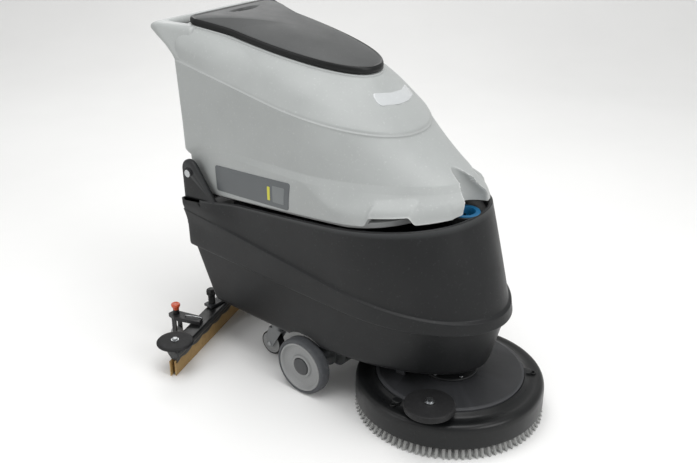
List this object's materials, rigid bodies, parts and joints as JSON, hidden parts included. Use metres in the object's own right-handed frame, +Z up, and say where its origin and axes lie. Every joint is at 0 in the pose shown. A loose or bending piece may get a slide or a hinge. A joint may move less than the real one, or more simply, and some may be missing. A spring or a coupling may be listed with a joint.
{
  "type": "floor scrubber",
  "caption": "Walk-behind battery floor scrubber: two stacked tanks, disc brush deck in front, V squeegee behind, wheels and castors.",
  "frame": {"origin": "on the floor, under the middle of the machine's box", "axes": "+X forward towards the brush, +Y to the machine's left, +Z up"},
  "size_m": [1.16, 0.872, 1.0092],
  "materials": {
    "upper_shell": "rotomoulded, satin",
    "lid_shell": "fine textured",
    "lower_shell": "rotomoulded, satin",
    "deck_shell": "powder coated",
    "frame_steel": "powder coated",
    "bright_steel": "zinc plated",
    "drive_metal": "painted casting",
    "tyre_rubber": "moulded",
    "rim_plastic": "moulded",
    "black_plastic": "moulded",
    "blade_gum": "cut sheet",
    "bumper_rubber": "moulded",
    "bristle_nylon": "tufted",
    "knob_red": "moulded",
    "strainer_blue": "moulded mesh",
    "badge_grey": "printed film",
    "band_white": "printed film",
    "battery_case": "moulded",
    "lead_post": "cast lead",
    "gauge_lens": "display",
    "button_green": "moulded",
    "key_steel": "stamped"
  },
  "bodies": {
    "machine": {"chassis_frame": "frame_steel", "solution_tank": "lower_shell", "pivot_bolts": "bright_steel", "fill_strainer": "strainer_blue", "drain_cap": "black_plastic", "solution_filter": "black_plastic", "batteries": "battery_case", "battery_links": "lead_post", "transaxle": "drive_metal"},
    "recovery": {"recovery_tank": "upper_shell", "control_panel": "black_plastic", "battery_gauge": "gauge_lens", "side_badges": "badge_grey", "nose_band": "band_white", "vacuum_motor": "drive_metal", "vacuum_cover": "black_plastic", "float_cage": "black_plastic", "lid_gasket": "bumper_rubber", "suction_port": "black_plastic", "drain_port": "black_plastic", "lid_hinge_pin": "bright_steel"},
    "lid": {"recovery_lid": "lid_shell"},
    "lever": {"operating_lever": "black_plastic"},
    "key": {"ignition_key": "key_steel"},
    "brush_switch": {"brush_button": "button_green"},
    "vacuum_switch": {"vacuum_button": "button_green"},
    "float": {"float_ball": "band_white"},
    "lift_arm": {"deck_arm": "frame_steel"},
    "deck": {"deck_cover": "deck_shell", "deck_plate": "deck_shell", "brush_motor": "drive_metal", "roller_bolt": "bright_steel"},
    "brush": {"brush_block": "black_plastic", "brush_bristles": "bristle_nylon", "drive_hub": "black_plastic"},
    "roller": {"deck_roller": "bumper_rubber"},
    "swing": {"swing_bracket": "frame_steel"},
    "squeegee": {"squeegee_arm": "frame_steel", "squeegee_body": "deck_shell", "front_blade": "blade_gum", "rear_blade": "blade_gum", "prop_arms": "deck_shell"},
    "wheel_left": {"tyre_left": "tyre_rubber", "wheel_rim_left": "rim_plastic", "hub_cap_left": "black_plastic"},
    "caster_left": {"caster_fork_left": "frame_steel"},
    "caster_roll_left": {"caster_wheel_left": "rim_plastic"},
    "bumper_left": {"bumper_roller_left": "bumper_rubber"},
    "prop_left": {"prop_wheel_left": "rim_plastic"},
    "height_left": {"height_knob_left": "knob_red"},
    "clamp_left": {"clamp_knob_left": "black_plastic"},
    "wheel_right": {"tyre_right": "tyre_rubber", "wheel_rim_right": "rim_plastic", "hub_cap_right": "black_plastic"},
    "caster_right": {"caster_fork_right": "frame_steel"},
    "caster_roll_right": {"caster_wheel_right": "rim_plastic"},
    "bumper_right": {"bumper_roller_right": "bumper_rubber"},
    "prop_right": {"prop_wheel_right": "rim_plastic"},
    "height_right": {"height_knob_right": "knob_red"},
    "clamp_right": {"clamp_knob_right": "black_plastic"}
  },
  "joints": [
    {"name": "recovery_tilt", "type": "hinge", "parent": "machine", "child": "recovery", "pos_m": [-0.437, 0, 0.571], "axis": [0, -1, 0], "range_deg": [0, 75]},
    {"name": "lid_hinge", "type": "hinge", "parent": "recovery", "child": "lid", "pos_m": [0.046, 0, 0.9036], "axis": [0, 1, 0], "range_deg": [0, 80]},
    {"name": "lever_squeeze", "type": "hinge", "parent": "recovery", "child": "lever", "pos_m": [-0.508, 0, 0.93], "axis": [0, 1, 0], "range_deg": [0, 6], "stiffness_Nm_per_rad": 0.8, "springref_deg": -17.19},
    {"name": "key_turn", "type": "hinge", "parent": "recovery", "child": "key", "pos_m": [-0.51, -0.085, 0.83], "axis": [1, 0, 0], "range_deg": [0, 90]},
    {"name": "brush_press", "type": "slide", "parent": "recovery", "child": "brush_switch", "axis": [1, 0, 0], "range_m": [0, 0.003], "stiffness_N_per_m": 300, "springref_m": -0.002},
    {"name": "vacuum_press", "type": "slide", "parent": "recovery", "child": "vacuum_switch", "axis": [1, 0, 0], "range_m": [0, 0.003], "stiffness_N_per_m": 300, "springref_m": -0.002},
    {"name": "float_rise", "type": "slide", "parent": "recovery", "child": "float", "axis": [0, 0, 1], "range_m": [0, 0.031]},
    {"name": "deck_raise", "type": "hinge", "parent": "machine", "child": "lift_arm", "pos_m": [0.07, 0, 0.145], "axis": [0, -1, 0], "range_deg": [0, 10]},
    {"name": "deck_level", "type": "hinge", "parent": "lift_arm", "child": "deck", "pos_m": [0.235, 0, 0.145], "axis": [0, -1, 0], "range_deg": [-10.5, 0.5]},
    {"name": "brush_spin", "type": "hinge", "parent": "deck", "child": "brush", "pos_m": [0.318, 0, 0.05], "axis": [0, 0, 1], "continuous": true},
    {"name": "deck_roller_spin", "type": "hinge", "parent": "deck", "child": "roller", "pos_m": [0.393, -0.204, 0.13], "axis": [0, 0, 1], "continuous": true},
    {"name": "squeegee_swing", "type": "hinge", "parent": "machine", "child": "swing", "pos_m": [-0.3, 0, 0.12], "axis": [0, 0, 1], "range_deg": [-8, 8]},
    {"name": "squeegee_lift", "type": "hinge", "parent": "swing", "child": "squeegee", "pos_m": [-0.33, 0, 0.118], "axis": [0, 1, 0], "range_deg": [0, 18]},
    {"name": "wheel_left_spin", "type": "hinge", "parent": "machine", "child": "wheel_left", "pos_m": [-0.03, 0.217, 0.085], "axis": [0, 1, 0], "continuous": true},
    {"name": "caster_left_swivel", "type": "hinge", "parent": "machine", "child": "caster_left", "pos_m": [-0.212, 0.125, 0.12], "axis": [0, 0, 1], "continuous": true},
    {"name": "caster_left_spin", "type": "hinge", "parent": "caster_left", "child": "caster_roll_left", "pos_m": [-0.237, 0.125, 0.0375], "axis": [0, 1, 0], "continuous": true},
    {"name": "bumper_left_spin", "type": "hinge", "parent": "squeegee", "child": "bumper_left", "pos_m": [-0.385, 0.382, 0.099], "axis": [0, 0, 1], "continuous": true},
    {"name": "prop_left_spin", "type": "hinge", "parent": "squeegee", "child": "prop_left", "pos_m": [-0.508, 0.27, 0.025], "axis": [0, 1, 0], "continuous": true},
    {"name": "height_knob_left_turn", "type": "hinge", "parent": "squeegee", "child": "height_left", "pos_m": [-0.508, 0.27, 0.12], "axis": [0, 0, 1], "continuous": true},
    {"name": "clamp_knob_left_turn", "type": "hinge", "parent": "squeegee", "child": "clamp_left", "pos_m": [-0.478, 0.15, 0.12], "axis": [0, 0, 1], "continuous": true},
    {"name": "wheel_right_spin", "type": "hinge", "parent": "machine", "child": "wheel_right", "pos_m": [-0.03, -0.217, 0.085], "axis": [0, 1, 0], "continuous": true},
    {"name": "caster_right_swivel", "type": "hinge", "parent": "machine", "child": "caster_right", "pos_m": [-0.212, -0.125, 0.12], "axis": [0, 0, 1], "continuous": true},
    {"name": "caster_right_spin", "type": "hinge", "parent": "caster_right", "child": "caster_roll_right", "pos_m": [-0.237, -0.125, 0.0375], "axis": [0, 1, 0], "continuous": true},
    {"name": "bumper_right_spin", "type": "hinge", "parent": "squeegee", "child": "bumper_right", "pos_m": [-0.385, -0.382, 0.099], "axis": [0, 0, 1], "continuous": true},
    {"name": "prop_right_spin", "type": "hinge", "parent": "squeegee", "child": "prop_right", "pos_m": [-0.508, -0.27, 0.025], "axis": [0, 1, 0], "continuous": true},
    {"name": "height_knob_right_turn", "type": "hinge", "parent": "squeegee", "child": "height_right", "pos_m": [-0.508, -0.27, 0.12], "axis": [0, 0, 1], "continuous": true},
    {"name": "clamp_knob_right_turn", "type": "hinge", "parent": "squeegee", "child": "clamp_right", "pos_m": [-0.478, -0.15, 0.12], "axis": [0, 0, 1], "continuous": true}
  ],
  "couplings": [
    {"joint": "deck_level", "follows": "deck_raise", "ratio": -1}
  ]
}
